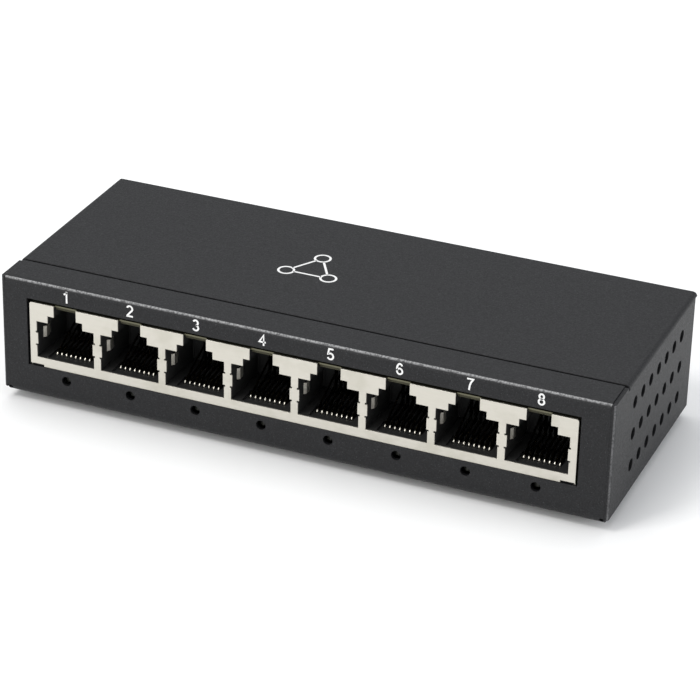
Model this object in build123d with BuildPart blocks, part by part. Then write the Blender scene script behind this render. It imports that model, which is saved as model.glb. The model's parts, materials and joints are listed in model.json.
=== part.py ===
from build123d import *
import os
from math import cos, radians, sin

# Eight-port desktop network switch in a folded steel case.
# Frame: +X to the right as seen from the ports, +Y from the ports to the rear, +Z up.
# The origin is on the table, under the centre of the bounding box.

os.makedirs("parts", exist_ok=True)

# ---------------------------------------------------------------- driving dimensions
# Case
case_width = 126.1
case_depth = 51.0
case_height = 25.6
sheet = 0.8
sheet_gap = 0.06
foot_height = 1.6
tight_bend = 0.95
lip_bend = 1.25
wide_bend = 2.0
lip_length = 7.7
seam_gap = 0.75
side_clear_bottom = 1.1
side_clear_rear = 1.1

# Ports
port_count = 8
port_pitch = 13.97
ports_x = -0.35
wire_count = 8
wire_pitch = 1.02
wire_radius = 0.2

# Connector block
jack_width = 113.2
jack_depth = 17.5
jack_height = 13.75
jack_setback = 0.15
shield = 0.3
cavity_width = 12.5
cavity_height = 7.85
cavity_floor_thickness = 1.95
latch_width = 7.6
latch_height = 1.55
key_width = 4.85

# Circuit board
board_width = 117.0
board_depth = 46.4
board_thickness = 1.6
board_lift = 5.55
board_setback = 1.6

# Screws
screw_radius = 1.48
screw_head_radius = 2.8
screw_head_height = 1.6

# ---------------------------------------------------------------- derived places
front_y = -(case_depth + screw_head_height) / 2
rear_y = front_y + case_depth
bottom_z = foot_height
top_z = bottom_z + case_height
inner_half = case_width / 2 - sheet - sheet_gap
port_xs = [ports_x + (i - (port_count - 1) / 2) * port_pitch for i in range(port_count)]
wire_xs = [(i - (wire_count - 1) / 2) * wire_pitch for i in range(wire_count)]

board_bottom = bottom_z + board_lift
board_top = board_bottom + board_thickness
board_front = front_y + board_setback
board_rear = board_front + board_depth

jack_front = front_y + jack_setback
jack_rear = jack_front + jack_depth
jack_bottom = board_top
jack_top = jack_bottom + jack_height
cavity_floor = jack_bottom + cavity_floor_thickness
shoulder_z = cavity_floor + cavity_height
latch_top = shoulder_z + latch_height
key_top = jack_top - shield

# Width, low edge and high edge of the three steps in a port's outline
opening_steps = (
    (cavity_width, cavity_floor, shoulder_z),
    (latch_width, shoulder_z, latch_top),
    (key_width, latch_top, key_top),
)

BOTTOM = (Align.CENTER, Align.CENTER, Align.MIN)
FRONT_BOTTOM = (Align.CENTER, Align.MIN, Align.MIN)


def upright(y):
    """Plane facing the front at depth y, with sketch axes along +X and +Z."""
    return Plane.XZ.offset(-y)


def save(piece, label):
    """Name a finished piece and write it out."""
    piece.part.label = label
    export_step(piece.part, "parts/" + label + ".step")


# ---------------------------------------------------------------- base chassis
# Floor, front panel with its rolled top lip, and rear panel, folded from one sheet.
flange_height = 5.0
corner_relief = 0.8
flange_start = front_y + wide_bend + 1.0
flange_end = rear_y - 3.0
rear_panel_top = top_z - sheet - 0.1
lip_half = case_width / 2 - sheet - 0.02
rear_recess = 0.5
relief_radius = 0.45
relief_rise = 1.0
relief_inset = 0.5
cover_screw_hole = 1.6

cutout_width = 114.2
cutout_bottom = jack_bottom - 0.05
cutout_top = jack_top + 0.75
indicator_radius = 1.0
indicator_x = 0.15
indicator_z = board_bottom - 0.5

keyhole_spacing = 80.0
keyhole_head = 3.6
keyhole_neck = 1.9
keyhole_travel = 5.2

standoff_xs = (-55.0, 55.0)
standoff_ys = (front_y + 22.0, front_y + 44.6)
standoff_shank = 2.1

dc_x = -28.0
dc_width = 9.0
dc_height = 11.0
dc_depth = 14.0
dc_axis_z = board_top + 6.4

cover_screw_x = 50.0
cover_screw_z = top_z - 5.4

with BuildPart() as base_chassis:
    with BuildSketch(Plane.YZ) as fold:
        with BuildLine():
            Polyline(
                (front_y + lip_length, top_z),
                (front_y, top_z),
                (front_y, bottom_z),
                (rear_y, bottom_z),
                (rear_y, rear_panel_top),
                (rear_y - sheet, rear_panel_top),
                (rear_y - sheet, bottom_z + sheet),
                (front_y + sheet, bottom_z + sheet),
                (front_y + sheet, top_z - sheet),
                (front_y + lip_length, top_z - sheet),
                close=True,
            )
        make_face()
        outer_front = fold.vertices().filter_by(lambda v: abs(v.X - front_y) < 0.01)
        fillet(outer_front.sort_by(Axis.Y)[-1], lip_bend)
        inner_front = fold.vertices().filter_by(lambda v: abs(v.X - front_y - sheet) < 0.01)
        fillet(inner_front.sort_by(Axis.Y)[-1], lip_bend - sheet)
        outer_low = fold.vertices().filter_by(lambda v: abs(v.Y - bottom_z) < 0.01)
        fillet(outer_low, wide_bend)
        inner_low = fold.vertices().filter_by(lambda v: abs(v.Y - bottom_z - sheet) < 0.01)
        fillet(inner_low, wide_bend - sheet)
    extrude(amount=lip_half, both=True)
    # The floor's long edges are cleared, then folded up as low flanges.
    with Locations((0, (flange_start + flange_end) / 2, bottom_z)):
        with GridLocations(2 * lip_half, 0, 2, 1):
            Box(
                2 * (wide_bend + 0.3),
                flange_end - flange_start + 2 * corner_relief,
                2 * sheet,
                mode=Mode.SUBTRACT,
            )
    with BuildSketch(upright(flange_start)) as trough:
        with Locations((0, bottom_z)):
            Rectangle(2 * inner_half, flange_height, align=(Align.CENTER, Align.MIN))
        fillet(trough.vertices().group_by(Axis.Y)[0], wide_bend - 0.4)
        with Locations((0, bottom_z + sheet)):
            Rectangle(
                2 * (inner_half - sheet),
                flange_height,
                align=(Align.CENTER, Align.MIN),
                mode=Mode.SUBTRACT,
            )
    extrude(amount=-(flange_end - flange_start))
    # The rear panel reaches out behind the cover's sides, a little inside their outer faces.
    with Locations((0, rear_y - sheet, bottom_z + side_clear_bottom)):
        Box(
            case_width - 2 * rear_recess,
            sheet,
            rear_panel_top - bottom_z - side_clear_bottom,
            align=FRONT_BOTTOM,
        )
    # Window for the connector block, and one light hole under each port
    with BuildSketch(upright(front_y)):
        with Locations((ports_x, (cutout_bottom + cutout_top) / 2)):
            Rectangle(cutout_width, cutout_top - cutout_bottom)
        with Locations(*[(x + indicator_x, indicator_z) for x in port_xs]):
            Circle(indicator_radius)
    extrude(amount=-sheet, mode=Mode.SUBTRACT)
    # Rear openings: power socket and two cover screws
    with BuildSketch(upright(rear_y - sheet)):
        with Locations((dc_x, board_top + dc_height / 2)):
            Rectangle(dc_width + 0.4, dc_height + 0.5)
        with Locations((-cover_screw_x, cover_screw_z), (cover_screw_x, cover_screw_z)):
            Circle(cover_screw_hole)
    extrude(amount=-sheet, mode=Mode.SUBTRACT)
    # Round bend reliefs in the lower front corners
    with BuildSketch(upright(front_y)):
        with Locations((0, bottom_z + relief_rise)):
            with GridLocations(2 * (lip_half - relief_inset), 0, 2, 1):
                Circle(relief_radius)
    extrude(amount=-wide_bend, mode=Mode.SUBTRACT)
    # Keyholes for hanging the switch, and holes for the pressed-in standoffs
    with BuildSketch(Plane.XY.offset(bottom_z)):
        with GridLocations(keyhole_spacing, 0, 2, 1):
            Circle(keyhole_head)
            with Locations((0, keyhole_travel / 2)):
                Rectangle(2 * keyhole_neck, keyhole_travel)
            with Locations((0, keyhole_travel)):
                Circle(keyhole_neck)
        with Locations(*[(x, y) for x in standoff_xs for y in standoff_ys]):
            Circle(standoff_shank)
    extrude(amount=sheet, mode=Mode.SUBTRACT)
save(base_chassis, "base_chassis")

# ---------------------------------------------------------------- top cover
# Inverted tray: top and two sides, a joggled tongue under the lip and two rear tabs.
seam_y = front_y + lip_length + seam_gap
tongue_front = front_y + 4.2
joggle = sheet + 0.1
joggle_run = 1.3
cheek_nose = 0.7
cheek_drop = 0.25
notch_drop = 1.0
weld = 0.1
tab_width = 11.0
tab_drop = 8.4
vent_radius = 1.25
vent_columns = 7
vent_rows = 3
vent_pitch_y = 4.89
vent_pitch_z = 6.69
vent_first_y = front_y + 12.48
vent_middle_z = bottom_z + 13.5
vent_middle_y = vent_first_y + (vent_columns - 1) / 2 * vent_pitch_y
side_rear = rear_y - side_clear_rear
side_low = bottom_z + side_clear_bottom

with BuildPart() as top_cover:
    with BuildSketch(upright(seam_y)) as arch:
        with Locations((0, side_low)):
            Rectangle(case_width, top_z - side_low, align=(Align.CENTER, Align.MIN))
        fillet(arch.vertices().group_by(Axis.Y)[-1], tight_bend)
        with Locations((0, side_low)):
            Rectangle(
                case_width - 2 * sheet,
                top_z - sheet - side_low,
                align=(Align.CENTER, Align.MIN),
                mode=Mode.SUBTRACT,
            )
    extrude(amount=-(rear_y - seam_y))
    # The sides stop short of the rear panel's raw edges.
    with Locations((0, side_rear, side_low)):
        Box(
            case_width,
            side_clear_rear,
            top_z - sheet - side_low,
            align=FRONT_BOTTOM,
            mode=Mode.SUBTRACT,
        )
    # Side cheeks reach the front face beside the lip, a little below it, with a bend relief.
    with Locations((0, front_y, side_low)):
        with GridLocations(case_width - sheet, 0, 2, 1):
            Box(sheet, lip_length, top_z - side_low - cheek_drop, align=FRONT_BOTTOM)
            Box(
                sheet,
                lip_length + seam_gap + weld,
                top_z - side_low - notch_drop,
                align=FRONT_BOTTOM,
            )
    # Rounded outer front edges of the cheeks
    outer_half = case_width / 2
    nose = top_cover.edges().filter_by(Axis.Z).filter_by(
        lambda e: abs(e.center().Y - front_y) < 0.01 and abs(abs(e.center().X) - outer_half) < 0.01
    )
    fillet(nose, cheek_nose)
    # Joggled tongue
    with BuildSketch(Plane.YZ):
        with BuildLine():
            Polyline(
                (tongue_front, top_z - joggle - sheet),
                (tongue_front, top_z - joggle),
                (seam_y, top_z - joggle),
                (seam_y, top_z),
                (seam_y + joggle_run, top_z),
                (seam_y + joggle_run, top_z - sheet),
                (seam_y + joggle_run - 0.35, top_z - joggle - sheet),
                close=True,
            )
        make_face()
    extrude(amount=inner_half - 2.0, both=True)
    leading = top_cover.edges().filter_by(Axis.X).filter_by(
        lambda e: abs(e.center().Y - seam_y) < 0.01 and abs(e.center().Z - top_z) < 0.01
    )
    fillet(leading, 0.2)
    # Tabs that the rear screws pull against
    with Locations((0, rear_y - 2 * sheet - 0.1, top_z - sheet - tab_drop)):
        with GridLocations(2 * cover_screw_x, 0, 2, 1):
            Box(tab_width, sheet, tab_drop + 0.2, align=FRONT_BOTTOM)
    with BuildSketch(upright(rear_y - 2 * sheet - 0.1)):
        with Locations((-cover_screw_x, cover_screw_z), (cover_screw_x, cover_screw_z)):
            Circle(screw_radius + 0.02)
    extrude(amount=-sheet, mode=Mode.SUBTRACT)
    # Ventilation holes through both sides
    with BuildSketch(Plane.YZ):
        with Locations((vent_middle_y, vent_middle_z)):
            with GridLocations(vent_pitch_y, vent_pitch_z, vent_columns, vent_rows):
                Circle(vent_radius)
    extrude(amount=case_width, both=True, mode=Mode.SUBTRACT)
save(top_cover, "top_cover")


# ---------------------------------------------------------------- screws and standoffs
def pan_screw(shank_length):
    """Pan-head cross-recess screw, head on top of Z = 0, shank down."""
    with BuildPart() as screw:
        Cylinder(screw_head_radius, screw_head_height, align=BOTTOM)
        fillet(screw.edges().group_by(Axis.Z)[-1], 0.7)
        with BuildSketch(Plane.XY.offset(screw_head_height)):
            Rectangle(2.9, 0.55)
            Rectangle(0.55, 2.9)
        extrude(amount=-1.0, taper=8, mode=Mode.SUBTRACT)
        with Locations((0, 0, -shank_length)):
            Cylinder(screw_radius, shank_length, align=BOTTOM)
        chamfer(screw.edges().group_by(Axis.Z)[0], 0.3)
    return screw.part


board_screw = pan_screw(6.0)
with BuildPart() as board_screws:
    with Locations(*[(x, y, board_top) for x in standoff_xs for y in standoff_ys]):
        add(board_screw)
save(board_screws, "board_screws")

cover_screw = pan_screw(5.0)
with BuildPart() as cover_screws:
    for x in (-cover_screw_x, cover_screw_x):
        with Locations(Plane((x, rear_y, cover_screw_z), x_dir=(1, 0, 0), z_dir=(0, 1, 0))):
            add(cover_screw)
save(cover_screws, "cover_screws")

with BuildPart() as board_standoffs:
    standoff_places = [(x, y) for x in standoff_xs for y in standoff_ys]
    with BuildSketch(Plane.XY.offset(bottom_z + sheet)):
        with Locations(*standoff_places):
            RegularPolygon(2.5, 6, major_radius=False)
    extrude(amount=board_lift - sheet)
    with BuildSketch(Plane.XY.offset(bottom_z)):
        with Locations(*standoff_places):
            Circle(standoff_shank)
    extrude(amount=sheet)
    with BuildSketch(Plane.XY.offset(board_bottom)):
        with Locations(*standoff_places):
            Circle(screw_radius + 0.02)
    extrude(amount=-board_lift + 0.4, mode=Mode.SUBTRACT)
save(board_standoffs, "board_standoffs")

# ---------------------------------------------------------------- feet and label
foot_radius = 4.0
foot_x = case_width / 2 - 12.0
foot_y = case_depth / 2 - 8.5
case_middle_y = (front_y + rear_y) / 2

with BuildPart() as rubber_feet:
    with BuildSketch(Plane.XY.offset(bottom_z)):
        with Locations((0, case_middle_y)):
            with GridLocations(2 * foot_x, 2 * foot_y, 2, 2):
                Circle(foot_radius)
    extrude(amount=-foot_height, taper=14)
    fillet(rubber_feet.edges().group_by(Axis.Z)[0], 0.35)
save(rubber_feet, "rubber_feet")

with BuildPart() as rating_label:
    with BuildSketch(Plane.XY.offset(bottom_z)) as label_outline:
        with Locations((0, case_middle_y)):
            Rectangle(46, 26)
        fillet(label_outline.vertices(), 1.5)
    extrude(amount=-0.12)
save(rating_label, "rating_label")

# ---------------------------------------------------------------- connector block: shield
finger_height = 2.4
finger_low = cavity_floor + 2.9
finger_slit = 0.4
finger_length = 5.7
finger_window = 2.9
finger_root = 0.25
finger_inner = 0.25
finger_outer = 0.5
roof_setback = 0.4
flap_play = 0.1
flap_lean = 0.4
flap_drop = 1.05
finger_slot = 0.35
slot_margin = 0.2
slot_overrun = 0.5
window_play = 0.08
finger_stock = 0.25
pad_bulge = 0.4
pad_shoulder = 0.35
pad_rise = 0.7
pad_crest = 1.6
pad_step = 0.1
corner_notch_width = 2.9
corner_notch_height = 0.45

with BuildPart() as jack_shield:
    with Locations((ports_x, jack_front, jack_bottom)):
        Box(jack_width, jack_depth, jack_height, align=FRONT_BOTTOM)
    shell_corners = jack_shield.edges().filter_by(Axis.Y).group_by(Axis.Z)[-1]
    fillet(shell_corners, 0.45)
    with Locations((ports_x, jack_front + shield, jack_bottom)):
        Box(
            jack_width - 2 * shield,
            jack_depth - 2 * shield,
            jack_height - shield,
            align=FRONT_BOTTOM,
            mode=Mode.SUBTRACT,
        )
    with BuildSketch(upright(jack_front)):
        # Stepped port outlines
        for low_width, low, high in opening_steps:
            with Locations(*[(x, low) for x in port_xs]):
                Rectangle(low_width, high - low, align=(Align.CENTER, Align.MIN))
        # Slits above and below the root of each grounding finger
        for x in port_xs:
            for slit_z in (finger_low - finger_slit, finger_low + finger_height):
                with Locations((x, slit_z)):
                    Rectangle(cavity_width + 0.5, finger_slit, align=(Align.CENTER, Align.MIN))
        # Lower corners are nicked where the side walls fold back
        with Locations((ports_x, jack_bottom)):
            with GridLocations(jack_width - corner_notch_width, 0, 2, 1):
                Rectangle(corner_notch_width, 2 * corner_notch_height)
    extrude(amount=-shield, mode=Mode.SUBTRACT)
    # The roof is cut back over each key slot.
    with Locations((ports_x, jack_front, jack_top)):
        with GridLocations(port_pitch, 0, port_count, 1):
            Box(
                key_width,
                shield + roof_setback,
                3 * shield,
                align=(Align.CENTER, Align.MIN, Align.CENTER),
                mode=Mode.SUBTRACT,
            )
    # Flaps folded down from the roof across each key slot, leaning back into it
    for x in port_xs:
        with BuildSketch(Plane.YZ.offset(x - key_width / 2 + flap_play)):
            with BuildLine():
                Polyline(
                    (jack_front + shield + roof_setback - weld, jack_top),
                    (jack_front + shield + roof_setback - weld, jack_top - shield),
                    (jack_front + shield + roof_setback + flap_lean, jack_top - flap_drop),
                    (jack_front + shield + roof_setback + flap_lean + shield, jack_top - flap_drop),
                    (jack_front + shield + roof_setback + shield, jack_top),
                    close=True,
                )
            make_face()
        extrude(amount=key_width - 2 * flap_play)
    # Grounding fingers: a root at the port's edge, a run inside the wall, and a bowed pad
    with BuildSketch(Plane.XY.offset(finger_low)):
        for x in port_xs:
            for side in (-1, 1):
                wall_x = x + side * cavity_width / 2
                with BuildLine():
                    Polyline(
                        (wall_x - side * finger_root, jack_front),
                        (wall_x + side * finger_outer, jack_front),
                        (wall_x + side * finger_outer, jack_front + finger_window),
                        (wall_x - side * (pad_shoulder - finger_stock), jack_front + finger_window + pad_rise),
                        (wall_x - side * (pad_bulge - finger_stock), jack_front + finger_window + pad_crest),
                        (wall_x + side * finger_stock, jack_front + finger_length),
                        (wall_x, jack_front + finger_length),
                        (wall_x - side * pad_bulge, jack_front + finger_window + pad_crest),
                        (wall_x - side * pad_shoulder, jack_front + finger_window + pad_rise - pad_step),
                        (wall_x + side * finger_inner, jack_front + finger_window - pad_step),
                        (wall_x + side * finger_inner, jack_front + shield),
                        (wall_x - side * finger_root, jack_front + shield),
                        close=True,
                    )
                make_face()
    extrude(amount=finger_height)
    # Solder legs on both ends, reaching through the board
    with Locations((ports_x, jack_front + 6.0, board_bottom - 0.8)):
        with GridLocations(jack_width - shield, 0, 2, 1):
            Box(shield, 1.6, board_thickness + 0.9, align=FRONT_BOTTOM)
save(jack_shield, "jack_shield")

# ---------------------------------------------------------------- connector block: housing
play = 0.05
housing_front = jack_front + shield + play
housing_rear = jack_rear - shield - play
housing_bottom = jack_bottom + play
housing_top = jack_top - shield - play
bend_y = jack_front + 3.75
bend_radius = 0.5
bend_z = cavity_floor - bend_radius
run_z = bend_z - bend_radius
comb_slot = 0.6
comb_width = 8.7
comb_sink = 0.45
comb_run = 4.6
comb_set_in = 0.5
insert_front = jack_front + 5.4
insert_wall = jack_front + 12.4
insert_half = 5.9
insert_top = cavity_floor + 6.6
peg_radius = 0.8

with BuildPart() as jack_housing:
    with Locations((ports_x, housing_front, housing_bottom)):
        Box(
            jack_width - 2 * shield - 2 * play,
            housing_rear - housing_front,
            housing_top - housing_bottom,
            align=FRONT_BOTTOM,
        )
    for step_width, low, high in opening_steps:
        step_depth = insert_wall - housing_front if low == cavity_floor else 9.6
        ceiling = high if low != latch_top else housing_top
        with BuildSketch(upright(housing_front)):
            with Locations(*[(x, low) for x in port_xs]):
                Rectangle(step_width, ceiling - low, align=(Align.CENTER, Align.MIN))
        extrude(amount=-step_depth, mode=Mode.SUBTRACT)
    for x in port_xs:
        # Slots that the grounding fingers run in, and the windows where their pads come out
        for side in (-1, 1):
            wall_x = x + side * cavity_width / 2
            slot_x = wall_x + side * (finger_inner + finger_outer) / 2
            with Locations((slot_x, housing_front, finger_low - slot_margin)):
                Box(
                    finger_slot,
                    finger_window + slot_overrun,
                    finger_height + 2 * slot_margin,
                    align=FRONT_BOTTOM,
                    mode=Mode.SUBTRACT,
                )
            with Locations((wall_x, jack_front + finger_window - slot_margin, finger_low - slot_margin)):
                Box(
                    2 * (finger_outer + window_play),
                    finger_length - finger_window + 2 * slot_margin,
                    finger_height + 2 * slot_margin,
                    align=FRONT_BOTTOM,
                    mode=Mode.SUBTRACT,
                )
        # Sunk middle of the floor around the comb
        with Locations((x, housing_front + comb_set_in, cavity_floor - comb_sink)):
            Box(comb_width, comb_run, comb_sink, align=FRONT_BOTTOM, mode=Mode.SUBTRACT)
        # Pocket for the contact insert, open below and behind
        with Locations((x, insert_front - play, housing_bottom)):
            Box(
                2 * (insert_half + play),
                housing_rear - insert_front + play,
                cavity_floor - housing_bottom,
                align=FRONT_BOTTOM,
                mode=Mode.SUBTRACT,
            )
        with Locations((x, insert_wall - 0.1, cavity_floor - 0.1)):
            Box(
                2 * (insert_half + play),
                housing_rear - insert_wall + 0.1,
                insert_top - cavity_floor + 0.1 + play,
                align=FRONT_BOTTOM,
                mode=Mode.SUBTRACT,
            )
    # Comb slots in the front sill, one for each contact's bend
    with BuildSketch(Plane.XY.offset(cavity_floor)):
        for x in port_xs:
            with Locations((x, bend_y - bend_radius - 0.45)):
                with GridLocations(wire_pitch, 0, wire_count, 1):
                    Rectangle(comb_slot, 4.0, align=(Align.CENTER, Align.MIN))
    extrude(amount=-(bend_radius * 2 + 0.45), mode=Mode.SUBTRACT)
    # Locating pegs into the board
    with BuildSketch(Plane.XY.offset(housing_bottom)):
        with Locations((ports_x, jack_front + 3.0)):
            with GridLocations(2 * port_pitch, 0, 4, 1):
                Circle(peg_radius)
    extrude(amount=-2.4)
save(jack_housing, "jack_housing")

# ---------------------------------------------------------------- contact inserts and wires
tail_rows = (insert_front + 8.0, insert_front + 10.54)
tail_bend = 0.55
tail_bottom = board_bottom - 1.1

for number, x in enumerate(port_xs, start=1):
    with BuildPart() as insert:
        with BuildSketch(Plane.YZ.offset(x)):
            with Locations((insert_front, housing_bottom)):
                Rectangle(
                    housing_rear - insert_front,
                    cavity_floor - housing_bottom - play,
                    align=(Align.MIN, Align.MIN),
                )
            with Locations((insert_wall, housing_bottom)):
                Rectangle(
                    housing_rear - insert_wall,
                    insert_top - housing_bottom,
                    align=(Align.MIN, Align.MIN),
                )
        extrude(amount=insert_half, both=True)
        # Grooves for the fixed runs, tails and spring tips
        for index, wire_x in enumerate(wire_xs):
            tail_y = tail_rows[index % 2]
            groove_z = run_z - wire_radius - 0.1
            with Locations((x + wire_x, insert_front, groove_z)):
                Box(
                    comb_slot - 0.04,
                    tail_y + 0.35 - insert_front,
                    cavity_floor - groove_z,
                    align=FRONT_BOTTOM,
                    mode=Mode.SUBTRACT,
                )
            with Locations((x + wire_x, tail_y - 0.35, housing_bottom)):
                Box(comb_slot - 0.04, 0.7, groove_z - housing_bottom, align=FRONT_BOTTOM, mode=Mode.SUBTRACT)
            with Locations((x + wire_x, insert_wall, cavity_floor - 0.1)):
                Box(comb_slot + 0.1, 2.3, 6.0, align=FRONT_BOTTOM, mode=Mode.SUBTRACT)
    save(insert, "port_insert_" + str(number))


def contact_tail(tail_y):
    """Fixed run of one contact, from its bend back along the insert and down through the board."""
    with BuildPart() as tail:
        with BuildLine(Plane.YZ) as route:
            Line((bend_y + 0.04, run_z), (tail_y - tail_bend, run_z))
            JernArc((tail_y - tail_bend, run_z), (1, 0), tail_bend, -90)
            Line((tail_y, run_z - tail_bend), (tail_y, tail_bottom))
        with BuildSketch(Plane(route.wire() @ 0, z_dir=route.wire() % 0)):
            Circle(wire_radius)
        sweep(path=route.wire())
    return tail.part


tail_shapes = [contact_tail(tail_y) for tail_y in tail_rows]
with BuildPart() as contact_tails:
    for index, wire_x in enumerate(wire_xs):
        with Locations(*[(x + wire_x, 0, 0) for x in port_xs]):
            add(tail_shapes[index % 2])
save(contact_tails, "contact_tails")

# One sprung contact: around the bend, up the slope and over the curled tip
spring_slope = 24.0
spring_length = 9.2
tip_radius = 1.2
tip_turn = 48.0

with BuildPart() as spring_wire:
    with BuildLine(Plane.YZ) as spring_route:
        bend = JernArc((bend_y, run_z), (-1, 0), bend_radius, -(180 - spring_slope))
        slope_end = (
            (bend @ 1).Y + spring_length * cos(radians(spring_slope)),
            (bend @ 1).Z + spring_length * sin(radians(spring_slope)),
        )
        Line(((bend @ 1).Y, (bend @ 1).Z), slope_end)
        JernArc(
            slope_end,
            (cos(radians(spring_slope)), sin(radians(spring_slope))),
            tip_radius,
            -tip_turn,
        )
    with BuildSketch(Plane(spring_route.wire() @ 0, z_dir=spring_route.wire() % 0)):
        Circle(wire_radius)
    sweep(path=spring_route.wire())

for number, x in enumerate(port_xs, start=1):
    with BuildPart() as springs:
        with Locations(*[(x + wire_x, 0, 0) for wire_x in wire_xs]):
            add(spring_wire.part)
    save(springs, "port_springs_" + str(number))

# ---------------------------------------------------------------- circuit board
tail_hole = 0.42
dc_terminal_y = rear_y - dc_depth
dc_spring_y = rear_y - 8.6

with BuildPart() as circuit_board:
    with BuildSketch(Plane.XY.offset(board_bottom)) as outline:
        with Locations((0, (board_front + board_rear) / 2)):
            Rectangle(board_width, board_depth)
        fillet(outline.vertices(), 1.2)
        with Locations(*standoff_places):
            Circle(1.65, mode=Mode.SUBTRACT)
        with Locations((ports_x, jack_front + 3.0)):
            with GridLocations(2 * port_pitch, 0, 4, 1):
                Circle(peg_radius + 0.05, mode=Mode.SUBTRACT)
        for index, wire_x in enumerate(wire_xs):
            with Locations(*[(x + wire_x, tail_rows[index % 2]) for x in port_xs]):
                Circle(tail_hole, mode=Mode.SUBTRACT)
        with Locations((ports_x, jack_front + 6.8)):
            with GridLocations(jack_width - shield, 0, 2, 1):
                Rectangle(shield + 0.3, 1.9, mode=Mode.SUBTRACT)
        with Locations((dc_x, dc_terminal_y - 0.3), (dc_x, dc_spring_y)):
            Rectangle(3.0, 0.8, mode=Mode.SUBTRACT)
    extrude(amount=board_thickness)
save(circuit_board, "circuit_board")

# ---------------------------------------------------------------- port lights
light_width = 3.0
light_depth = 1.2
light_height = 1.0
light_lens = 0.9

for number, x in enumerate(port_xs, start=1):
    with BuildPart() as port_light:
        with BuildSketch(Plane.XY.offset(board_bottom)):
            with Locations((x + indicator_x, board_front + 0.4)):
                Rectangle(light_width, light_depth, align=(Align.CENTER, Align.MIN))
                Circle(light_lens)
        extrude(amount=-light_height)
    save(port_light, "port_light_" + str(number))


# ---------------------------------------------------------------- chips and their leads
def gull_leads(center, half_body, reach, pitch, count, width, rise, turns):
    """Add rows of gull-wing leads around a package, one row for each turn in degrees."""
    metal = 0.15
    for turn in turns:
        with Locations(Location((center[0], center[1], board_top), (0, 0, turn))):
            with Locations((0, half_body, 0)):
                with GridLocations(pitch, 0, count, 1):
                    with Locations((0, 0, rise)):
                        Box(width, reach * 0.4, metal, align=FRONT_BOTTOM)
                    with Locations((0, reach * 0.4 - metal, 0)):
                        Box(width, metal, rise + metal, align=FRONT_BOTTOM)
                        Box(width, reach * 0.6 + metal, metal, align=FRONT_BOTTOM)


def chip_body(center, width, depth, low, height):
    """Moulded package with a bevelled top edge and a pin-one dimple."""
    with BuildPart() as body:
        with Locations((center[0], center[1], board_top + low)):
            Box(width, depth, height - low, align=BOTTOM)
        chamfer(body.edges().group_by(Axis.Z)[-1], 0.18)
        with Locations((center[0] - width / 2 + 1.1, center[1] - depth / 2 + 1.1, board_top + height)):
            Cylinder(0.35, 0.1, align=(Align.CENTER, Align.CENTER, Align.MAX), mode=Mode.SUBTRACT)
    return body


transformer_y = front_y + 24.5
transformer_width = 18.6
transformer_depth = 8.0
transformer_height = 5.6
transformer_xs = [ports_x + i * port_pitch for i in (-3, -1, 1, 3)]

for number, x in enumerate(transformer_xs, start=1):
    transformer = chip_body((x, transformer_y), transformer_width, transformer_depth, 0.2, transformer_height)
    save(transformer, "line_transformer_" + str(number))

with BuildPart() as transformer_leads:
    for x in transformer_xs:
        gull_leads((x, transformer_y), transformer_depth / 2, 1.4, 1.5, 12, 0.5, 1.6, (0, 180))
save(transformer_leads, "transformer_leads")

chip_center = (8.0, front_y + 39.2)
chip_side = 14.0
chip_height = 1.55
switch_chip = chip_body(chip_center, chip_side, chip_side, 0.12, chip_height)
save(switch_chip, "switch_chip")

with BuildPart() as switch_chip_leads:
    gull_leads(chip_center, chip_side / 2, 1.0, 0.8, 16, 0.36, 0.7, (0, 90, 180, 270))
save(switch_chip_leads, "switch_chip_leads")

pad_thickness = 0.5
sink_side = 16.0
sink_base = 1.6
sink_height = 7.5
fin_count = 7
fin_thickness = 0.9

with BuildPart() as thermal_pad:
    with Locations((chip_center[0], chip_center[1], board_top + chip_height)):
        Box(chip_side - 0.6, chip_side - 0.6, pad_thickness, align=BOTTOM)
save(thermal_pad, "thermal_pad")

with BuildPart() as heatsink:
    with BuildSketch(Plane.XY.offset(board_top + chip_height + pad_thickness)):
        with Locations(chip_center):
            Rectangle(sink_side, sink_side)
    extrude(amount=sink_base)
    with BuildSketch(Plane.XY.offset(board_top + chip_height + pad_thickness + sink_base)):
        with Locations(chip_center):
            with GridLocations((sink_side - fin_thickness) / (fin_count - 1), 0, fin_count, 1):
                Rectangle(fin_thickness, sink_side)
    extrude(amount=sink_height - sink_base)
save(heatsink, "heatsink")

regulator_center = (-45.5, front_y + 43.4)
memory_center = (36.0, front_y + 40.0)
regulator_chip = chip_body(regulator_center, 5.0, 4.0, 0.15, 1.6)
save(regulator_chip, "regulator_chip")
memory_chip = chip_body(memory_center, 5.0, 4.0, 0.15, 1.6)
save(memory_chip, "memory_chip")

with BuildPart() as small_chip_leads:
    for center in (regulator_center, memory_center):
        gull_leads(center, 2.0, 1.0, 1.27, 4, 0.42, 0.75, (0, 180))
save(small_chip_leads, "small_chip_leads")

# ---------------------------------------------------------------- power parts and passives
can_sizes = (
    ((-48.0, front_y + 35.8), 4.0, 10.2),
    ((-38.2, front_y + 35.2), 3.15, 7.4),
)
can_base = 1.0

with BuildPart() as capacitor_bases:
    for center, radius, height in can_sizes:
        with BuildSketch(Plane.XY.offset(board_top)):
            with Locations(center):
                Rectangle(2 * radius + 0.5, 2 * radius + 0.5)
        extrude(amount=can_base)
save(capacitor_bases, "capacitor_bases")

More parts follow.
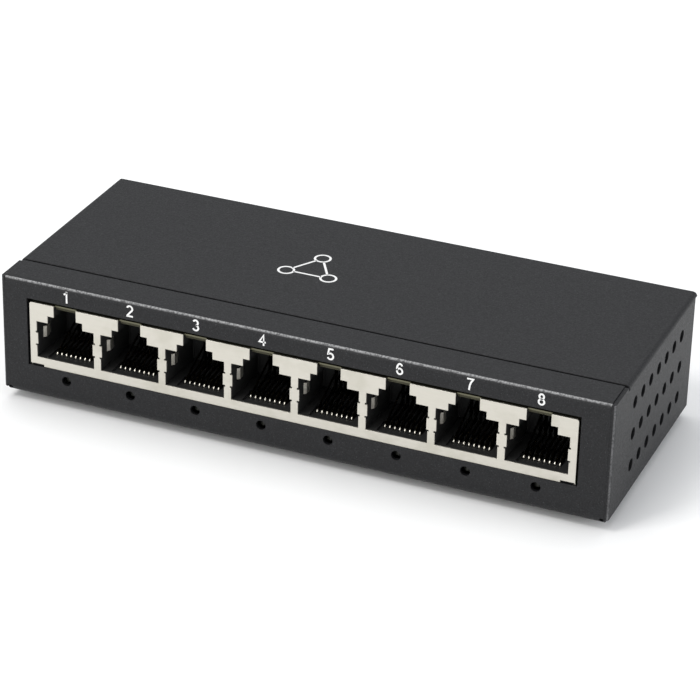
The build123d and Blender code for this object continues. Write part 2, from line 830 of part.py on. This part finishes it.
with BuildPart() as capacitor_cans:
    for center, radius, height in can_sizes:
        can_plane = Plane((center[0], center[1], board_top + can_base), x_dir=(1, 0, 0), z_dir=(0, -1, 0))
        with BuildSketch(can_plane):
            with BuildLine():
                Polyline(
                    (0, 0),
                    (radius - 0.3, 0),
                    (radius, 0.3),
                    (radius, 1.2),
                    (radius - 0.3, 1.6),
                    (radius, 2.0),
                    (radius, height - can_base - 0.4),
                    (radius - 0.4, height - can_base),
                    (0, height - can_base),
                    close=True,
                )
            make_face()
        revolve(axis=Axis((center[0], center[1], 0), (0, 0, 1)))
save(capacitor_cans, "capacitor_cans")

with BuildPart() as power_inductor:
    with BuildSketch(Plane.XY.offset(board_top)) as choke:
        with Locations((-15.0, front_y + 36.4)):
            Rectangle(7.2, 7.2)
        fillet(choke.vertices(), 1.4)
    extrude(amount=4.2)
    chamfer(power_inductor.edges().group_by(Axis.Z)[-1], 0.3)
save(power_inductor, "power_inductor")

crystal_center = (24.0, front_y + 39.0)
with BuildPart() as crystal_can:
    with BuildSketch(Plane.XY.offset(board_top)):
        with Locations(crystal_center):
            SlotOverall(11.2, 4.7, rotation=90)
    extrude(amount=0.5)
    with BuildSketch(Plane.XY.offset(board_top + 0.5)):
        with Locations(crystal_center):
            SlotOverall(10.4, 3.9, rotation=90)
    extrude(amount=3.0)
    fillet(crystal_can.edges().group_by(Axis.Z)[-1], 0.5)
save(crystal_can, "crystal_can")

with BuildPart() as chip_resistors:
    for place_x in (-28.0, 46.0):
        with Locations((place_x, front_y + 33.0, board_top)):
            with GridLocations(2.6, 1.9, 4, 2):
                Box(1.6, 0.8, 0.45, align=BOTTOM)
    with Locations((ports_x, front_y + 30.5, board_top)):
        with GridLocations(2.6, 0, 12, 1):
            Box(1.6, 0.8, 0.45, align=BOTTOM)
save(chip_resistors, "chip_resistors")

with BuildPart() as ceramic_capacitors:
    with Locations((chip_center[0] - 11.2, chip_center[1] + 1.5, board_top)):
        with GridLocations(0, 2.4, 1, 5):
            Box(2.0, 1.25, 0.9, align=BOTTOM)
    with Locations((46.0, front_y + 42.0, board_top)):
        with GridLocations(3.0, 2.6, 3, 3):
            Box(2.0, 1.25, 0.9, align=BOTTOM)
save(ceramic_capacitors, "ceramic_capacitors")

# ---------------------------------------------------------------- power socket
dc_bore = 3.15
dc_bore_depth = 9.6
dc_pin_radius = 1.0
dc_root_radius = 1.3
dc_pin_recess = 0.9
dc_leaf_width = 2.2
dc_leaf = 0.25

with BuildPart() as power_socket_body:
    with Locations((dc_x, rear_y - dc_depth, board_top)):
        Box(dc_width, dc_depth - 0.05, dc_height - 1.0, align=FRONT_BOTTOM)
    with Locations((dc_x, rear_y - 3.4, board_top)):
        Box(dc_width, 3.35, dc_height, align=FRONT_BOTTOM)
    chamfer(power_socket_body.edges().filter_by(Axis.Y).group_by(Axis.Z)[-1], 0.5)
    with BuildSketch(upright(rear_y)):
        with Locations((dc_x, dc_axis_z)):
            Circle(dc_bore)
    extrude(amount=dc_bore_depth, mode=Mode.SUBTRACT)
    with BuildSketch(upright(rear_y)):
        with Locations((dc_x, dc_axis_z)):
            Circle(dc_root_radius + 0.03)
    extrude(amount=dc_depth, mode=Mode.SUBTRACT)
    # Slot under the bore for the leaf contact and its leg
    with Locations((dc_x, rear_y - 8.9, dc_axis_z - dc_bore - 0.6)):
        Box(dc_leaf_width + 0.3, 8.0, 2.0, align=FRONT_BOTTOM, mode=Mode.SUBTRACT)
    with Locations((dc_x, rear_y - 8.9, board_top)):
        Box(dc_leaf_width + 0.3, 0.6, dc_axis_z - board_top - dc_bore, align=FRONT_BOTTOM, mode=Mode.SUBTRACT)
save(power_socket_body, "power_socket_body")

with BuildPart() as power_socket_pin:
    with BuildSketch(upright(rear_y - dc_pin_recess)):
        with Locations((dc_x, dc_axis_z)):
            Circle(dc_pin_radius)
    extrude(amount=dc_bore_depth - dc_pin_recess)
    fillet(power_socket_pin.edges().group_by(Axis.Y)[-1], 0.5)
    with BuildSketch(upright(rear_y - dc_bore_depth)):
        with Locations((dc_x, dc_axis_z)):
            Circle(dc_root_radius)
    extrude(amount=dc_depth - dc_bore_depth + 0.1)
    with Locations((dc_x, dc_terminal_y - 0.45, board_bottom - 1.0)):
        Box(2.4, 0.4, dc_axis_z + 1.4 - board_bottom + 1.0, align=FRONT_BOTTOM)
save(power_socket_pin, "power_socket_pin")

with BuildPart() as power_socket_leaf:
    with BuildSketch(Plane.YZ.offset(dc_x)):
        leaf_low = dc_axis_z - dc_bore - 0.45
        with BuildLine():
            Polyline(
                (rear_y - 1.6, leaf_low),
                (rear_y - 4.4, leaf_low + 0.75),
                (dc_spring_y + dc_leaf, leaf_low),
                (dc_spring_y + dc_leaf, board_bottom - 1.0),
                (dc_spring_y, board_bottom - 1.0),
                (dc_spring_y, leaf_low + dc_leaf),
                (rear_y - 4.4, leaf_low + 0.75 + dc_leaf),
                (rear_y - 1.6, leaf_low + dc_leaf),
                close=True,
            )
        make_face()
    extrude(amount=dc_leaf_width / 2, both=True)
save(power_socket_leaf, "power_socket_leaf")
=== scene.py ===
import json
from math import cos, radians, sin

import bmesh
import bpy
from mathutils import Matrix, Vector


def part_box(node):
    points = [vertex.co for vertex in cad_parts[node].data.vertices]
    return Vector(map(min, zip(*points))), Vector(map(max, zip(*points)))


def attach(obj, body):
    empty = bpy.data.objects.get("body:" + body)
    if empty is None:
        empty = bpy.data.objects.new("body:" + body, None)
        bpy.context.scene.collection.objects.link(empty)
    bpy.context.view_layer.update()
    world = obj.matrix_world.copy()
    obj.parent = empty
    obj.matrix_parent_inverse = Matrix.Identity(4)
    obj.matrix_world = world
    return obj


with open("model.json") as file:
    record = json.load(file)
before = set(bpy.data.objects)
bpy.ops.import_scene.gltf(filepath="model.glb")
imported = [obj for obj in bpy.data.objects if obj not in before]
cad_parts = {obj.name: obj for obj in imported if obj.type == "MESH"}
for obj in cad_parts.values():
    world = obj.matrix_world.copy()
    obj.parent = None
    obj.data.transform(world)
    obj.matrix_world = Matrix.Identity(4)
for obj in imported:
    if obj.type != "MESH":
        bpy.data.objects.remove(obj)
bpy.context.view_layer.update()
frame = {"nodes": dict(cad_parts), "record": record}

# Desktop network switch, dressed and lit. Metres, in the frame of the CAD model:
# +X to the right as seen from the ports, +Y from the ports to the rear, +Z up.

NODES = frame["nodes"]
BODY = "switch"
MM = 0.001

CASE_LOW, CASE_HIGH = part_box("base_chassis")
SHIELD_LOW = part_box("jack_shield")[0]
LIGHTS = [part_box("port_light_" + str(n)) for n in range(1, 9)]
PORT_XS = [(low[0] + high[0]) / 2 for low, high in LIGHTS]
# Depth where painted shade starts on the contact wires, just past their front bend.
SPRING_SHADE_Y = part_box("port_springs_1")[0][1] + 0.2 * MM


# ---------------------------------------------------------------- material helpers
class Surface:
    """A Principled material with short calls for procedural patterns in row-frame metres."""

    def __init__(self, name, metallic=0.0, specular=0.5, coat=0.0, coat_roughness=0.1):
        self.material = bpy.data.materials.new(name)
        self.material.use_nodes = True
        tree = self.material.node_tree
        self.nodes = tree.nodes
        self.links = tree.links
        self.shader = self.nodes["Principled BSDF"]
        self.shader.inputs["Metallic"].default_value = metallic
        self.shader.inputs["Specular IOR Level"].default_value = specular
        self.shader.inputs["Coat Weight"].default_value = coat
        self.shader.inputs["Coat Roughness"].default_value = coat_roughness
        self.place = self.nodes.new("ShaderNodeTexCoord").outputs["Object"]
        self.normal = None

    def stretched(self, scale, turn=(0, 0, 0)):
        """Coordinates scaled unevenly, for grain that runs one way."""
        mapping = self.nodes.new("ShaderNodeMapping")
        mapping.inputs["Scale"].default_value = scale
        mapping.inputs["Rotation"].default_value = turn
        self.links.new(self.place, mapping.inputs["Vector"])
        return mapping.outputs["Vector"]

    def noise(self, per_metre, detail=3.0, roughness=0.55, where=None):
        """Noise from 0 to 1 with this many features to the metre."""
        node = self.nodes.new("ShaderNodeTexNoise")
        node.inputs["Scale"].default_value = per_metre
        node.inputs["Detail"].default_value = detail
        node.inputs["Roughness"].default_value = roughness
        self.links.new(where or self.place, node.inputs["Vector"])
        return node.outputs["Fac"]

    def cells(self, per_metre, feature="F1", where=None):
        """Distance to scattered points, for orange peel, pits and flakes."""
        node = self.nodes.new("ShaderNodeTexVoronoi")
        node.feature = feature
        node.inputs["Scale"].default_value = per_metre
        self.links.new(where or self.place, node.inputs["Vector"])
        return node.outputs["Distance"]

    def stretch(self, value, low, high, to_low=0.0, to_high=1.0):
        """Value mapped from low..high to to_low..to_high and held there."""
        node = self.nodes.new("ShaderNodeMapRange")
        node.inputs["From Min"].default_value = low
        node.inputs["From Max"].default_value = high
        node.inputs["To Min"].default_value = to_low
        node.inputs["To Max"].default_value = to_high
        self.links.new(value, node.inputs["Value"])
        return node.outputs["Result"]

    def join(self, operation, first, second):
        """Math node on two values, either of which may be a number."""
        node = self.nodes.new("ShaderNodeMath")
        node.operation = operation
        for socket, value in zip(node.inputs, (first, second)):
            if isinstance(value, (int, float)):
                socket.default_value = value
            else:
                self.links.new(value, socket)
        return node.outputs["Value"]

    def blend(self, factor, first, second):
        """Mix of two colours, each an RGB tuple or a socket."""
        node = self.nodes.new("ShaderNodeMix")
        node.data_type = "RGBA"
        self.links.new(factor, node.inputs["Factor"])
        for socket, value in ((node.inputs[6], first), (node.inputs[7], second)):
            if isinstance(value, tuple):
                socket.default_value = (*value, 1.0)
            else:
                self.links.new(value, socket)
        return node.outputs[2]

    def color(self, value):
        self.links.new(value, self.shader.inputs["Base Color"])

    def roughness(self, value):
        self.links.new(value, self.shader.inputs["Roughness"])

    def between(self, axis, low, high):
        """1 where the position along an axis lies between two values."""
        split = self.nodes.new("ShaderNodeSeparateXYZ")
        self.links.new(self.place, split.inputs["Vector"])
        above = self.join("GREATER_THAN", split.outputs[axis], low)
        below = self.join("LESS_THAN", split.outputs[axis], high)
        return self.join("MULTIPLY", above, below)

    def crown(self, axis, middle, half_width):
        """Painted highlight mask: 1 along a bend beside the front face, by how far its normal leans to an
        axis.
        """
        split = self.nodes.new("ShaderNodeSeparateXYZ")
        facing = self.nodes.new("ShaderNodeNewGeometry").outputs["True Normal"]
        self.links.new(facing, split.inputs["Vector"])
        off = self.join("ABSOLUTE", self.join("SUBTRACT", split.outputs[axis], middle), 0)
        band = self.stretch(off, half_width * 0.5, half_width, 1.0, 0.0)
        forward = self.stretch(split.outputs["Y"], -0.4, -0.3, 1.0, 0.0)
        near = self.between("Y", CASE_LOW[1] - MM, CASE_LOW[1] + 1.4 * MM)
        return self.join("MULTIPLY", band, self.join("MULTIPLY", forward, near))

    def worn_edges(self, radius):
        """Rounds the shading of sharp edges by this radius."""
        node = self.nodes.new("ShaderNodeBevel")
        node.samples = 4
        node.inputs["Radius"].default_value = radius
        self.normal = node.outputs["Normal"]
        self.links.new(self.normal, self.shader.inputs["Normal"])

    def bump(self, height, depth, strength=1.0):
        """Bump of this depth in metres, laid over any earlier one."""
        node = self.nodes.new("ShaderNodeBump")
        node.inputs["Distance"].default_value = depth
        node.inputs["Strength"].default_value = strength
        self.links.new(height, node.inputs["Height"])
        if self.normal is not None:
            self.links.new(self.normal, node.inputs["Normal"])
        self.normal = node.outputs["Normal"]
        self.links.new(self.normal, self.shader.inputs["Normal"])


# ---------------------------------------------------------------- materials of the case
def powder_coat():
    """Near-black fine-textured powder coat with painted glints and a painted pale highlight along the bends
    of its front edges.
    """
    s = Surface("dark_powder_coat", specular=0.31)
    grain = s.noise(3400, detail=4.0, roughness=0.62)
    peel = s.cells(2100, "SMOOTH_F1")
    mottle = s.noise(230, detail=3.0)
    # Painted glints: small pale specks over the coat, standing for the sparkle of its texture.
    painted_glints = s.stretch(s.noise(5200, detail=1.0), 0.66, 0.76)
    body = s.blend(mottle, (0.0040, 0.0041, 0.0050), (0.0066, 0.0067, 0.0078))
    sanded = s.blend(s.stretch(grain, 0.42, 0.7), body, (0.0110, 0.0112, 0.0130))
    coated = s.blend(painted_glints, sanded, (0.050, 0.051, 0.055))
    # Painted highlight: paler grey coloured onto the front bends where their normals face the lamps, broken
    # up by noise.
    crown = s.join("MAXIMUM", s.crown("Z", 0.72, 0.15), s.join("MULTIPLY", s.crown("X", 0.84, 0.4), 0.42))
    broken_painted_highlight = s.join("MULTIPLY", crown, s.stretch(s.noise(2600, detail=3.0), 0.36, 0.58, 0.25, 1.0))
    s.color(s.blend(broken_painted_highlight, coated, (0.30, 0.30, 0.305)))
    s.roughness(s.stretch(grain, 0.3, 0.7, 0.60, 0.42))
    s.worn_edges(0.12 * MM)
    s.bump(peel, 0.05 * MM, 0.55)
    s.bump(grain, 0.045 * MM, 0.9)
    return s.material


def black_screw():
    """Black zinc with turned rings worn a little bright on the ridges."""
    s = Surface("black_screw", metallic=0.9)
    wear = s.noise(1500, detail=4.0)
    s.color(s.blend(s.stretch(wear, 0.5, 0.75), (0.022, 0.022, 0.024), (0.10, 0.098, 0.095)))
    s.roughness(s.stretch(wear, 0.3, 0.7, 0.28, 0.45))
    s.worn_edges(0.08 * MM)
    s.bump(s.noise(6000, detail=2.0), 0.01 * MM, 0.6)
    return s.material


def zinc_steel():
    """Bright zinc on steel, with soft blotches of passivation."""
    s = Surface("zinc_steel", metallic=1.0)
    blotch = s.noise(420, detail=3.0)
    s.color(s.blend(blotch, (0.58, 0.58, 0.55), (0.72, 0.71, 0.64)))
    s.roughness(s.stretch(s.noise(2600), 0.3, 0.7, 0.2, 0.36))
    s.worn_edges(0.08 * MM)
    s.bump(s.noise(5200, detail=2.0), 0.006 * MM, 0.6)
    return s.material


def foot_rubber():
    """Matt black rubber with a dusty bloom."""
    s = Surface("foot_rubber", specular=0.3)
    bloom = s.noise(900, detail=5.0)
    s.color(s.blend(s.stretch(bloom, 0.45, 0.8), (0.012, 0.012, 0.012), (0.032, 0.031, 0.03)))
    s.roughness(s.stretch(bloom, 0.3, 0.7, 0.78, 0.92))
    s.bump(s.noise(4200), 0.03 * MM, 0.6)
    return s.material


def label_film():
    """Blank silver-white film with a fine tooth."""
    s = Surface("label_paper", specular=0.45)
    tooth = s.noise(3000, detail=3.0)
    s.color(s.blend(tooth, (0.60, 0.60, 0.59), (0.68, 0.68, 0.67)))
    s.roughness(s.stretch(tooth, 0.3, 0.7, 0.38, 0.5))
    s.bump(tooth, 0.008 * MM, 0.5)
    return s.material


# ---------------------------------------------------------------- materials of the ports
def tin_plate():
    """Tin plate on thin sheet: warm white, rolled grain, smudges, and painted olive shade on each folded
    flap.
    """
    s = Surface("tin_plate", metallic=0.86, specular=0.5)
    rolled = s.noise(900, detail=3.0, where=s.stretched((0.25, 1.0, 3.2)))
    smudge = s.noise(170, detail=3.0)
    bright = s.blend(rolled, (0.565, 0.54, 0.475), (0.65, 0.625, 0.565))
    plate = s.blend(s.stretch(smudge, 0.5, 0.78), bright, (0.52, 0.50, 0.43))
    # Painted shade: tin plate from 0.35 to 1.6 mm behind the shield's front, where each folded flap sits,
    # is coloured dark olive.
    flap_painted_shade = s.between("Y", SHIELD_LOW[1] + 0.35 * MM, SHIELD_LOW[1] + 1.6 * MM)
    s.color(s.blend(flap_painted_shade, plate, (0.145, 0.14, 0.095)))
    s.roughness(s.stretch(rolled, 0.3, 0.7, 0.3, 0.46))
    s.worn_edges(0.06 * MM)
    s.bump(rolled, 0.008 * MM, 0.5)
    return s.material


def black_nylon():
    """Glass-filled black nylon, spark-eroded mould finish."""
    s = Surface("black_nylon", specular=0.32)
    spark = s.noise(4200, detail=3.0)
    s.color(s.blend(spark, (0.018, 0.018, 0.018), (0.030, 0.030, 0.0295)))
    s.roughness(s.stretch(spark, 0.3, 0.7, 0.42, 0.6))
    s.worn_edges(0.05 * MM)
    s.bump(spark, 0.015 * MM, 0.6)
    return s.material


def gold_plate():
    """Contact wire, gold along its whole length: pale gold at the front bend, painted shade in dark bronze
    along its slope.
    """
    s = Surface("gold_plate", metallic=1.0)
    drawn = s.noise(3000, detail=2.0, where=s.stretched((3.0, 0.4, 0.4)))
    split = s.nodes.new("ShaderNodeSeparateXYZ")
    s.links.new(s.place, split.inputs["Vector"])
    # Painted shade: the wire is coloured dark bronze from just past its front bend back, for the shade deep
    # in the port.
    behind = s.stretch(split.outputs["Y"], SPRING_SHADE_Y, SPRING_SHADE_Y + 0.25 * MM)
    spring_shade_colour = s.blend(drawn, (0.035, 0.028, 0.018), (0.06, 0.048, 0.03))
    s.color(s.blend(behind, (0.90, 0.86, 0.76), spring_shade_colour))
    s.roughness(s.stretch(drawn, 0.3, 0.7, 0.2, 0.36))
    s.bump(drawn, 0.004 * MM, 0.5)
    return s.material


def light_lens():
    """Unlit light: epoxy lens coloured near black, painted shade for the dark of the hole it sits in."""
    s = Surface("light_lens", specular=0.4)
    cloud = s.noise(1600, detail=2.0)
    s.color(s.blend(cloud, (0.010, 0.011, 0.009), (0.022, 0.023, 0.019)))
    s.roughness(s.stretch(cloud, 0.3, 0.7, 0.25, 0.4))
    return s.material


# ---------------------------------------------------------------- materials inside
def green_board():
    """Green solder mask over copper: routed tracks show as paler lines, with a glassy skin."""
    s = Surface("green_board", specular=0.5, coat=0.35, coat_roughness=0.12)
    tracks = s.nodes.new("ShaderNodeTexBrick")
    tracks.inputs["Scale"].default_value = 330
    tracks.inputs["Mortar Size"].default_value = 0.055
    tracks.inputs["Color1"].default_value = (0, 0, 0, 1)
    tracks.inputs["Color2"].default_value = (0, 0, 0, 1)
    tracks.inputs["Mortar"].default_value = (1, 1, 1, 1)
    s.links.new(s.place, tracks.inputs["Vector"])
    pours = s.stretch(s.noise(75, detail=0.0), 0.5, 0.52)
    mask = s.blend(pours, (0.010, 0.075, 0.030), (0.016, 0.115, 0.045))
    s.color(s.blend(tracks.outputs["Color"], mask, (0.035, 0.19, 0.075)))
    s.roughness(s.stretch(s.noise(1500), 0.3, 0.7, 0.25, 0.4))
    s.bump(tracks.outputs["Color"], 0.02 * MM, 0.6)
    return s.material


def moulded(name, dark, light, grain=3600, rough=(0.5, 0.68)):
    """Moulded epoxy, ferrite or ceramic with a fine tooth."""
    s = Surface(name, specular=0.4)
    tooth = s.noise(grain, detail=4.0)
    s.color(s.blend(tooth, dark, light))
    s.roughness(s.stretch(tooth, 0.3, 0.7, *rough))
    s.worn_edges(0.06 * MM)
    s.bump(tooth, 0.012 * MM, 0.6)
    return s.material


def metal(name, dark, light, rough, along=(1.0, 1.0, 1.0), grain=2200):
    """Plain metal whose grain is stretched along one axis."""
    s = Surface(name, metallic=1.0)
    lines = s.noise(grain, detail=3.0, where=s.stretched(along))
    s.color(s.blend(lines, dark, light))
    s.roughness(s.stretch(lines, 0.3, 0.7, *rough))
    s.worn_edges(0.05 * MM)
    s.bump(lines, 0.005 * MM, 0.6)
    return s.material


def print_ink():
    """Screen-printed ink, slightly uneven where it sits on the texture."""
    s = Surface("print_ink", specular=0.35)
    cover = s.noise(2600, detail=3.0)
    s.color(s.blend(s.stretch(cover, 0.3, 0.6), (0.70, 0.70, 0.70), (0.84, 0.84, 0.83)))
    s.roughness(s.stretch(cover, 0.3, 0.7, 0.5, 0.65))
    s.bump(cover, 0.02 * MM, 0.6)
    return s.material


MATERIALS = {
    "dark_powder_coat": powder_coat(),
    "black_screw": black_screw(),
    "zinc_steel": zinc_steel(),
    "foot_rubber": foot_rubber(),
    "label_paper": label_film(),
    "tin_plate": tin_plate(),
    "black_nylon": black_nylon(),
    "gold_plate": gold_plate(),
    "green_board": green_board(),
    "light_lens": light_lens(),
    "chip_epoxy": moulded("chip_epoxy", (0.014, 0.014, 0.015), (0.024, 0.024, 0.025)),
    "solder_tin": metal("solder_tin", (0.55, 0.55, 0.53), (0.72, 0.72, 0.69), (0.25, 0.4)),
    "pad_silicone": moulded("pad_silicone", (0.24, 0.30, 0.38), (0.31, 0.38, 0.46), rough=(0.7, 0.85)),
    "black_aluminium": metal(
        "black_aluminium", (0.02, 0.02, 0.021), (0.045, 0.045, 0.047), (0.4, 0.55), (1, 0.1, 1)
    ),
    "bare_aluminium": metal(
        "bare_aluminium", (0.66, 0.66, 0.66), (0.80, 0.80, 0.80), (0.22, 0.34), (0.2, 0.2, 3)
    ),
    "ferrite_grey": moulded("ferrite_grey", (0.035, 0.035, 0.037), (0.060, 0.060, 0.062), 2400),
    "resistor_black": moulded("resistor_black", (0.018, 0.018, 0.020), (0.035, 0.035, 0.037)),
    "ceramic_tan": moulded("ceramic_tan", (0.28, 0.19, 0.11), (0.38, 0.27, 0.17)),
    "nickel_pin": metal("nickel_pin", (0.62, 0.60, 0.54), (0.76, 0.74, 0.67), (0.12, 0.24), (1, 4, 1)),
}
INK = print_ink()


def dress_frame():
    """Give every CAD node the material of its slot."""
    for entry in frame["record"]["subparts"]:
        node = NODES[entry["node"]]
        for slot in node.material_slots:
            slot.material = MATERIALS[entry["material_slot"]]


# ---------------------------------------------------------------- printing
INK_THICKNESS = 0.02 * MM
NUMERAL_HEIGHT = 2.5 * MM
NUMERAL_STROKE = 0.14
NUMERAL_SHIFT = 0.2 * MM
NUMERAL_Z = CASE_LOW[2] + 23.57 * MM
SHARPEST_MITRE = 0.55
MARK_RADIUS = 5.2 * MM
MARK_RING = 0.3 * MARK_RADIUS
MARK_LINE = 0.45 * MM
MARK_MIDDLE = (-9.0 * MM, 2.0 * MM)


def arc(middle, across, tall, start, end, steps=24):
    """Points on an ellipse from one angle to another, in degrees."""
    angles = [radians(start + (end - start) * i / steps) for i in range(steps + 1)]
    return [(middle[0] + across * cos(a), middle[1] + tall * sin(a)) for a in angles]


# Centre lines of the numerals, in units of their height, from the lower left corner
NUMERALS = [
    [[(0.37, 0.0), (0.37, 1.0)], [(0.40, 0.93), (0.28, 0.80), (0.13, 0.72)]],
    [arc((0.32, 0.71), 0.225, 0.225, 165, -35) + [(0.13, 0.14), (0.10, 0.07), (0.58, 0.07)]],
    [arc((0.30, 0.725), 0.19, 0.205, 160, -90), arc((0.30, 0.29), 0.225, 0.22, 90, -160)],
    [[(0.43, 0.0), (0.43, 0.90), (0.07, 0.30), (0.61, 0.30)]],
    [[(0.55, 0.93), (0.20, 0.93), (0.12, 0.50)] + arc((0.31, 0.32), 0.235, 0.25, 130, -155)],
    [arc((0.33, 0.31), 0.215, 0.235, 0, 360), arc((0.345, 0.50), 0.235, 0.43, 40, 200)],
    [[(0.07, 0.93), (0.56, 0.93), (0.40, 0.68), (0.30, 0.40), (0.25, 0.0)]],
    [arc((0.31, 0.735), 0.18, 0.195, 0, 360), arc((0.31, 0.29), 0.22, 0.22, 0, 360)],
]


def ribbon(ink, line, half, lay):
    """Stroke of twice this half width along a line of points, each corner mitred."""
    points = [Vector(point) for point in line]
    looped = (points[0] - points[-1]).length < half * 0.01
    rims = []
    for i, point in enumerate(points):
        before = points[i - 1] if i else (points[-2] if looped else None)
        after = points[i + 1] if i + 1 < len(points) else (points[1] if looped else None)
        ways = []
        if before is not None:
            ways.append((point - before).normalized())
        if after is not None:
            ways.append((after - point).normalized())
        way = sum(ways, Vector((0, 0))).normalized()
        reach = half / max(way.dot(ways[0]), SHARPEST_MITRE)
        side = Vector((-way.y, way.x)) * reach
        rims.append([ink.verts.new(lay(point + side)), ink.verts.new(lay(point - side))])
    faces = []
    for near, far in zip(rims, rims[1:]):
        faces.append(ink.faces.new((near[1], far[1], far[0], near[0])))
        faces[-1].normal_update()
    bmesh.ops.solidify(ink, geom=faces, thickness=INK_THICKNESS)


def ink_piece(name, ink):
    """Object printed on the case from the strokes in this mesh."""
    bmesh.ops.recalc_face_normals(ink, faces=ink.faces)
    mesh = bpy.data.meshes.new(name)
    ink.to_mesh(mesh)
    ink.free()
    mesh.materials.append(INK)
    piece = bpy.data.objects.new(name, mesh)
    bpy.context.scene.collection.objects.link(piece)
    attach(piece, BODY)


def port_numerals():
    """Numerals 1 to 8 over the ports, one piece of ink."""
    ink = bmesh.new()
    for strokes, x in zip(NUMERALS, PORT_XS):
        across = [point[0] for stroke in strokes for point in stroke]
        corner = x + NUMERAL_SHIFT - NUMERAL_HEIGHT * (min(across) + max(across)) / 2

        def lay(point, corner=corner):
            lifted = NUMERAL_Z + NUMERAL_HEIGHT * (point[1] - 0.5)
            return (corner + NUMERAL_HEIGHT * point[0], CASE_LOW[1] - INK_THICKNESS / 2, lifted)

        for stroke in strokes:
            ribbon(ink, stroke, NUMERAL_STROKE / 2, lay)
    ink_piece("port_numerals", ink)


def top_mark():
    """Plain generic mark on the cover: three small rings joined by lines."""
    ink = bmesh.new()
    high = CASE_HIGH[2] + INK_THICKNESS / 2
    middles = []
    for turn in (90, 210, 330):
        middles.append(Vector((cos(radians(turn)), sin(radians(turn)))) * MARK_RADIUS + Vector(MARK_MIDDLE))
    for middle, following in zip(middles, middles[1:] + middles[:1]):
        inset = (following - middle).normalized() * MARK_RING
        ring = arc(middle, MARK_RING, MARK_RING, 0, 360)
        ribbon(ink, ring, MARK_LINE / 2, lambda p: (p[0], p[1], high))
        ribbon(ink, [middle + inset, following - inset], MARK_LINE / 2, lambda p: (p[0], p[1], high))
    ink_piece("top_mark", ink)


# ---------------------------------------------------------------- camera, floor and light
CAMERA_PLACE = Vector((193.226, -475.689, 278.768)) * MM
CAMERA_RIGHT = Vector((0.92200, 0.38656, 0.02227))
CAMERA_AHEAD = Vector((-0.33366, 0.82237, -0.46084))
CAMERA_LENS = 150.535


def place_camera():
    """Long lens, a little above the case, looking at the ports from the right."""
    data = bpy.data.cameras.new("camera")
    data.lens = CAMERA_LENS
    data.sensor_width = 36.0
    data.clip_start = 0.01
    data.clip_end = 20.0
    camera = bpy.data.objects.new("camera", data)
    ahead = CAMERA_AHEAD.normalized()
    right = (CAMERA_RIGHT - ahead * CAMERA_RIGHT.dot(ahead)).normalized()
    up = right.cross(ahead)
    turn = Matrix((right, up, -ahead)).transposed().to_4x4()
    camera.matrix_world = Matrix.Translation(CAMERA_PLACE) @ turn
    bpy.context.scene.collection.objects.link(camera)
    bpy.context.scene.camera = camera


def floor_surface():
    """Pale matt sweep with a very faint tooth."""
    s = Surface("pale_floor", specular=0.1)
    tooth = s.noise(60, detail=4.0)
    s.color(s.blend(tooth, (0.93, 0.93, 0.93), (0.95, 0.95, 0.95)))
    s.roughness(s.stretch(tooth, 0.3, 0.7, 0.85, 0.95))
    return s.material


def lay_floor():
    """Large pale floor under the feet."""
    plane = bmesh.new()
    bmesh.ops.create_grid(plane, x_segments=1, y_segments=1, size=6.0)
    mesh = bpy.data.meshes.new("floor")
    plane.to_mesh(mesh)
    plane.free()
    floor = bpy.data.objects.new("floor", mesh)
    mesh.materials.append(floor_surface())
    bpy.context.scene.collection.objects.link(floor)


def soft_light(name, place, size, power, tint=(1.0, 1.0, 1.0)):
    """Square soft box at place, aimed at the middle of the case."""
    data = bpy.data.lights.new(name, "AREA")
    data.shape = "SQUARE"
    data.size = size
    data.energy = power
    data.color = tint
    light = bpy.data.objects.new(name, data)
    aim = Vector((0, 0, 0.013)) - Vector(place)
    light.rotation_euler = aim.to_track_quat("-Z", "Y").to_euler()
    light.location = place
    bpy.context.scene.collection.objects.link(light)


def light_scene():
    """Even studio light: bright surround, soft boxes above, in front and at the right."""
    world = bpy.data.worlds.new("studio")
    world.use_nodes = True
    backdrop = world.node_tree.nodes["Background"]
    backdrop.inputs["Color"].default_value = (0.96, 0.98, 1.0, 1.0)
    backdrop.inputs["Strength"].default_value = 0.66
    bpy.context.scene.world = world
    soft_light("box_above", (-0.2, 0.35, 1.15), 0.9, 4.0)
    soft_light("box_bend", (-0.42, -0.58, 1.02), 0.35, 5.0, (1.0, 0.99, 0.97))
    soft_light("box_front", (-0.35, -1.1, 0.55), 0.7, 4.5, (1.0, 0.985, 0.96))
    soft_light("box_right", (1.15, 0.1, 0.5), 0.6, 3.0, (0.93, 0.95, 1.0))
    bpy.context.scene.view_settings.view_transform = "Standard"


dress_frame()
port_numerals()
top_mark()
place_camera()
lay_floor()
light_scene()
